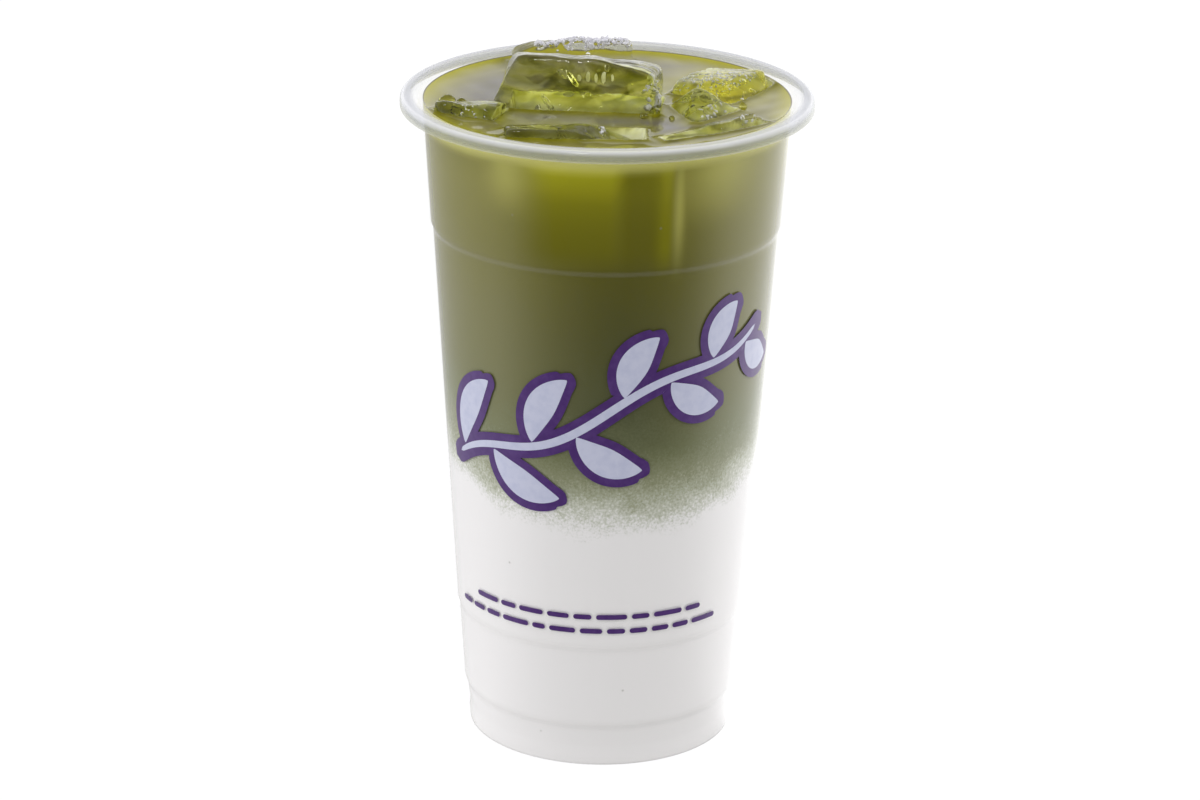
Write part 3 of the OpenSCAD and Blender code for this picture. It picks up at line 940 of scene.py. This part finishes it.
violet_ink = ink("violet_screen_ink", "#4B2A6E", "#553678")
pale_ink = ink("pale_screen_ink", "#C9CCE0", "#BFC3DA")
for name, strokes, lift, finish in (("print_ground", violet_strokes, 0.03 * MM, violet_ink),
                                    ("print_face", pale_strokes, 0.06 * MM, pale_ink),
                                    ("print_small", small, 0.03 * MM, violet_ink)):
    points, faces = joined(strokes, lift)
    make_piece(name, points, faces, "print", [finish], closed=False)

# %% [markdown]
# ## Studio
# A white light table under the cup and bright white all round, darker on the camera's side:
# that makes the edges of the cup light and its middle deeper. The room is dimmer low behind
# too, because the open tea mirrors that part and would turn white.

# %% Floor, room and lamps
scene = bpy.context.scene
scene.view_settings.view_transform = "Standard"

table = bare("white_acrylic_light_table")
spot = add(table, "TexCoord").outputs["Object"]
mottle = add(table, "TexNoise", {"Vector": spot, "Scale": 3.0})
mottle = add(table, "ValToRGB", {0: mottle.outputs["Fac"]}, stops=[(0.3, "#4A4A4A"), (0.7, "#4E4E4E")])
rays = add(table, "LightPath")
glow = add(table, "Math", {0: rays.outputs["Is Camera Ray"], 1: 0.97}, operation="MULTIPLY")
glow = add(table, "Math", {0: rays.outputs["Is Diffuse Ray"], 1: 0.68, 2: glow}, operation="MULTIPLY_ADD")
# What the cup's gloss mirrors: dark before it, pale at its sides, bright behind on the right.
way = add(table, "VectorMath", {0: spot}, operation="NORMALIZE")
front = add(table, "VectorMath", {0: way, 1: (0.1, -0.99, 0.0)}, operation="DOT_PRODUCT").outputs["Value"]
sides = add(table, "MapRange", {0: front, 1: 0.1, 2: 0.85, 3: 0.7, 4: 0.0}, **SOFT)
right = add(table, "VectorMath", {0: way, 1: (0.83, 0.56, 0.0)}, operation="DOT_PRODUCT").outputs["Value"]
right = add(table, "MapRange", {0: right, 1: 0.3, 2: 1.05, 4: 0.85}, **SOFT)
mirrored = add(table, "Math", {0: sides, 1: right}, operation="ADD")
glow = add(table, "Math", {0: mirrored, 1: rays.outputs["Is Glossy Ray"], 2: glow}, operation="MULTIPLY_ADD")
shader = add(table, "BsdfPrincipled", {"Base Color": mottle, "Roughness": 0.8, "Specular IOR Level": 0.0,
                                       "Emission Color": srgb("#FFFFFF"), "Emission Strength": glow})
add(table, "OutputMaterial", {0: shader})
table_half, lines_across = 3.0, 40
step = np.linspace(-table_half, table_half, lines_across)
sheet = np.stack([*np.meshgrid(step, step), np.zeros((lines_across, lines_across))], -1)
mesh = bpy.data.meshes.new("light_table")
mesh.from_pydata(sheet.reshape(-1, 3).tolist(), [], grid_faces(lines_across, lines_across).tolist())
mesh.materials.append(table)
floor = bpy.data.objects.new("light_table", mesh)
scene.collection.objects.link(floor)

room = bare("white_room", "worlds")
scene.world = room
way = add(room, "TexCoord").outputs["Generated"]
split = add(room, "SeparateXYZ", {0: way})
# Darker on the camera's side, a little right of it, fading from 30 to 70 degrees high.
dark_way = add(room, "VectorMath", {0: way, 1: (0.34, -0.94, 0.0)}, operation="DOT_PRODUCT").outputs["Value"]
dark = add(room, "MapRange", {0: dark_way, 1: 0.1, 2: 0.9, 4: -0.9}, **SOFT)
low = add(room, "MapRange", {0: split.outputs["Z"], 1: 0.5, 2: 0.95, 3: 1.0, 4: 0.0}, **SOFT)
dark = add(room, "Math", {0: dark, 1: low, 2: 1.0}, operation="MULTIPLY_ADD")
# Dimmer low behind, brighter on the right, dimmer overhead.
back = add(room, "MapRange", {0: split.outputs["Y"], 1: 0.35, 2: 0.75, 4: -0.85}, **SOFT)
back = add(room, "Math", {0: back, 1: low}, operation="MULTIPLY")
across = add(room, "MapRange", {0: split.outputs["X"], 1: -1.0, 2: 1.0, 3: 2.0, 4: 2.3})
over = add(room, "MapRange", {0: split.outputs["Z"], 1: 0.3, 2: 0.9, 3: 1.0, 4: 0.35}, **SOFT)
level = add(room, "Math", {0: across, 1: dark}, operation="MULTIPLY")
level = add(room, "Math", {0: level, 1: over, 2: back}, operation="MULTIPLY_ADD")
seen = add(room, "LightPath").outputs["Is Camera Ray"]
level = add(room, "Mix", {0: seen, 2: level, 3: 1.0})
light = add(room, "Background", {"Color": srgb("#FBFBFF"), "Strength": level})
add(room, "OutputWorld", {0: light})


def lamp(name, place, aim, size, power):
    """A square soft lamp at a place, turned to face a point."""
    data = bpy.data.lights.new(name, "AREA")
    data.energy, data.size = power, size
    made = bpy.data.objects.new(name, data)
    made.location = place
    made.rotation_euler = (Vector(place) - Vector(aim)).to_track_quat("Z", "Y").to_euler()
    made.visible_camera = False
    scene.collection.objects.link(made)


lamp("side_lamp_right", (1.2, -0.5, 0.9), (0, 0, 0.1), 0.5, 3.0)
lamp("glint_lamp", (-0.35, -1.1, 1.5), (0, 0, 0.15), 0.22, 4.0)

# %% [markdown]
# ## Camera
# The lens looks down a little on the rim, from about a metre away, and leans by under a degree.

# %% Place the camera
camera_data = bpy.data.cameras.new("camera")
camera_data.lens, camera_data.sensor_width = 126.0, 36.0
camera = bpy.data.objects.new("camera", camera_data)
aim, distance, rise, lean = Vector((-0.00078, 0, 0.08021)), 0.98607, math.radians(19.91), math.radians(0.75)
back_way = Vector((0, -math.cos(rise), math.sin(rise)))
right = Vector((1, 0, 0)) * math.cos(lean) + Vector((0, math.sin(rise), math.cos(rise))) * math.sin(lean)
turned = Matrix([right, back_way.cross(right), back_way]).transposed()
camera.matrix_world = Matrix.Translation(aim + back_way * distance) @ turned.to_4x4()
scene.collection.objects.link(camera)
scene.camera = camera
print("camera at", [round(v, 4) for v in camera.matrix_world.translation])
